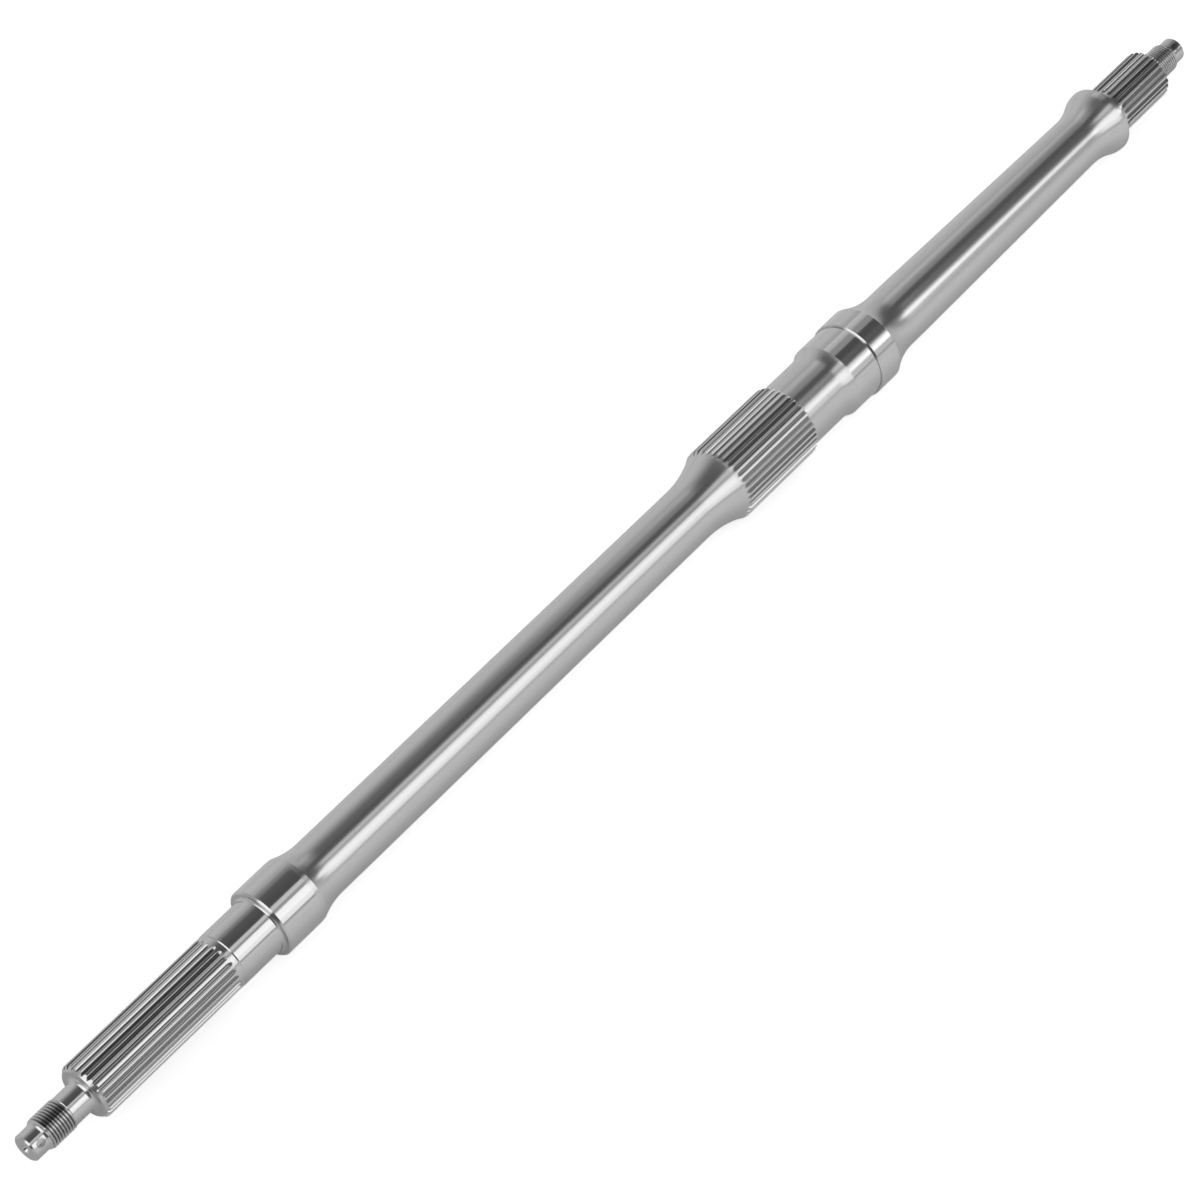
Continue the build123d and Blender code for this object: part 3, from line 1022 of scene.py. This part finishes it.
def bare_steel(name, roughness, stretch=0.0):
    """A metal with a name, a mean roughness and a stretched highlight."""
    material = bpy.data.materials.new(name)
    material.use_nodes = True
    tree = material.node_tree
    shader = tree.nodes["Principled BSDF"]
    shader.inputs["Base Color"].default_value = STEEL
    shader.inputs["Metallic"].default_value = 1.0
    shader.inputs["Roughness"].default_value = roughness
    if stretch:
        shader.inputs["Anisotropic"].default_value = stretch
        shader.inputs["Anisotropic Rotation"].default_value = 0.25
        tangent = add_node(tree, "ShaderNodeTangent", direction_type="RADIAL", axis="X")
        plug(tree, shader.inputs["Tangent"], tangent.outputs[0])
    return material, tree, shader


def ring_marks(tree, pitch_mm, detail=2.0):
    """Noise that depends only on the place along X, as lathe marks do."""
    where = add_node(tree, "ShaderNodeTexCoord").outputs["Object"]
    axes = add_node(tree, "ShaderNodeSeparateXYZ")
    plug(tree, axes.inputs[0], where)
    noise = add_node(tree, "ShaderNodeTexNoise", noise_dimensions="1D")
    plug(tree, noise.inputs["W"], axes.outputs["X"])
    noise.inputs["Scale"].default_value = 1 / (pitch_mm * MM)
    noise.inputs["Detail"].default_value = detail
    return noise.outputs["Fac"]


def bumped(tree, shader, height, strength, depth_mm):
    """Feeds a height to the shader as bump."""
    bump = add_node(tree, "ShaderNodeBump")
    bump.inputs["Strength"].default_value = strength
    bump.inputs["Distance"].default_value = depth_mm * MM
    plug(tree, bump.inputs["Height"], height)
    plug(tree, shader.inputs["Normal"], bump.outputs[0])


def painted_groove_shade(tree, shader, darkest):
    """Painted shade: the steel's colour goes darker towards a groove's bottom."""
    groove = add_node(tree, "ShaderNodeAttribute", attribute_name="groove")
    shade = ramp(tree, groove.outputs["Fac"], ((0.4, STEEL[0]), (0.95, darkest)), "EASE")
    plug(tree, shader.inputs["Base Color"], shade)


# %% [markdown]
# ### The finishes
#
# Each finish is one short function. Roughness could come from one painted map
# of the whole shaft, but five plain materials are easier to change.

# %% Finishes
def turned_steel():
    """Satin bars and sweeps with fine rings left by the tool."""
    material, tree, shader = bare_steel("turned_steel", 0.24, 0.6)
    bumped(tree, shader, ring_marks(tree, 0.5), 0.3, 0.004)
    return material


def ground_steel():
    """Bearing and seal bands, nearly a mirror, with a faint grind."""
    material, tree, shader = bare_steel("ground_steel", 0.13, 0.5)
    bumped(tree, shader, ring_marks(tree, 0.3), 0.2, 0.002)
    return material


def cut_steel():
    """Teeth as the cutter left them, a little duller."""
    material, tree, shader = bare_steel("cut_steel", 0.2)
    # the bottoms of the tooth gaps are painted darker, as painted shade
    painted_groove_shade(tree, shader, 0.24)
    return material


def rolled_steel():
    """Threads, necks and noses."""
    material, tree, shader = bare_steel("rolled_steel", 0.15)
    # the bottoms of the thread turns are painted darker, as painted shade
    painted_groove_shade(tree, shader, 0.16)
    return material


def drilled_steel():
    """Walls of the split-pin holes, dull, with a dark colour that is painted shade inside the
    holes.
    """
    material, tree, shader = bare_steel("drilled_steel", 0.35)
    # a near-black base colour, as painted shade inside the hole
    shader.inputs["Base Color"].default_value = (0.10, 0.10, 0.10, 1)
    return material


finishes = [turned_steel(), ground_steel(), cut_steel(), rolled_steel(), drilled_steel()]
TURNED, GROUND, CUT, ROLLED, HOLE_WALL_SHADE = range(5)
shaft.data.materials.clear()               # the booleans leave an empty slot
for finish in finishes:
    shaft.data.materials.append(finish)

# %% [markdown]
# ### Which finish goes where
#
# Each face takes the finish of the stretch its middle lies in. One search in a
# sorted list of stations does it for all faces at once.

# %% Finish of each face
stretches = (                # (from this station on, finish)
    (x_end_a - 1, ROLLED), (x_face_a + 0.1, CUT), (x_gap_a + blind_run, ROLLED),
    (x_journal, GROUND), (x_seat_1 + 0.1, TURNED), (x_spline_b + 0.05, CUT),
    (x_relief + 0.1, TURNED), (x_inner, GROUND), (x_sweep_3, TURNED),
    (x_face_c - 0.1, ROLLED), (x_gap_c - blind_run, CUT), (x_shoulder_c + 0.05, ROLLED),
)
starts = np.array([start for start, _ in stretches]) * MM
kinds = np.array([kind for _, kind in stretches])
middles = np.empty(len(shaft.data.polygons) * 3, np.float32)
shaft.data.polygons.foreach_get("center", middles)
stretch = np.searchsorted(starts, middles.reshape(-1, 3)[:, 0], "right") - 1
WALL_REACH = 4.0             # faces nearer the axis than this are a hole's wall
finish_of = kinds[stretch]
middles = middles.reshape(-1, 3)
face_r = np.hypot(middles[:, 1], middles[:, 2])
# faces of the hole walls take the painted shade
for name in HOLES:
    beside_hole = np.abs(middles[:, 0] - mounts[name]["pos_m"][0])
    reach = (mounts[name]["dims"]["r_mm"] + 0.1) * MM
    finish_of[(beside_hole < reach) & (face_r < WALL_REACH * MM)] = HOLE_WALL_SHADE
shaft.data.polygons.foreach_set("material_index", finish_of.astype(np.int32))
print("faces by finish:", np.bincount(finish_of).tolist())

# %% [markdown]
# ### How deep each point lies in its groove
#
# The bottoms of thread turns and tooth gaps are painted darker than their
# crests, as painted shade. Each point gets a number for it: 0 at the crest and
# 1 at the full depth. The crest is an outline like those above, so bevels count
# as crest and stay bright.

# %% Depth in the grooves
mid_bevel_end = x_spline_b + (mid_tip - brink) * MID_BEVEL
thread_depth = thread_r - ROOT
crests = (                   # (stations, crest radii, groove depth)
    ((x_nose_a, x_nose_a + LEAD_CHAMFER, x_thread_a - FADE, x_thread_a),
     (nose_r, thread_r, thread_r, neck_r), thread_depth),
    ((x_face_a, x_face_a + FACE_BEVEL_LEN, x_gap_a + blind_run),
     (bevel_foot, end_tip, end_tip), DEPTH),
    ((x_spline_b, mid_bevel_end, x_relief - EDGE, x_relief),
     (brink, mid_tip, mid_tip, mid_tip - EDGE), DEPTH),
    ((x_gap_c - blind_run, x_shoulder_c - EDGE, x_shoulder_c),
     (end_tip, end_tip, end_tip - EDGE), DEPTH),
    ((x_thread_c, x_thread_c + FADE, x_nose_c - LEAD_CHAMFER, x_nose_c),
     (neck_r, thread_r, thread_r, nose_r), thread_depth),
)
places = np.empty(len(shaft.data.vertices) * 3, np.float32)
shaft.data.vertices.foreach_get("co", places)
places = places.reshape(-1, 3) / MM
point_x, point_r = places[:, 0], np.hypot(places[:, 1], places[:, 2])
groove = np.zeros(len(places))
for stations, radii, depth in crests:
    inside = (point_x > stations[0] + 1e-3) & (point_x < stations[-1] - 1e-3)
    below = np.interp(point_x, stations, radii) - point_r
    groove[inside] = np.clip(below[inside] / depth, 0, 1)
# the depth that the painted shade in the grooves follows
layer = shaft.data.attributes.new("groove", "FLOAT", "POINT")
layer.data.foreach_set("value", groove.astype(np.float32))
print("points in grooves:", int((groove > 0.5).sum()), "of", len(groove))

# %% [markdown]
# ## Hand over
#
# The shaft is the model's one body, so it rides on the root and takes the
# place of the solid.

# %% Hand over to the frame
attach(shaft, "root")
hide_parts("splined_shaft")
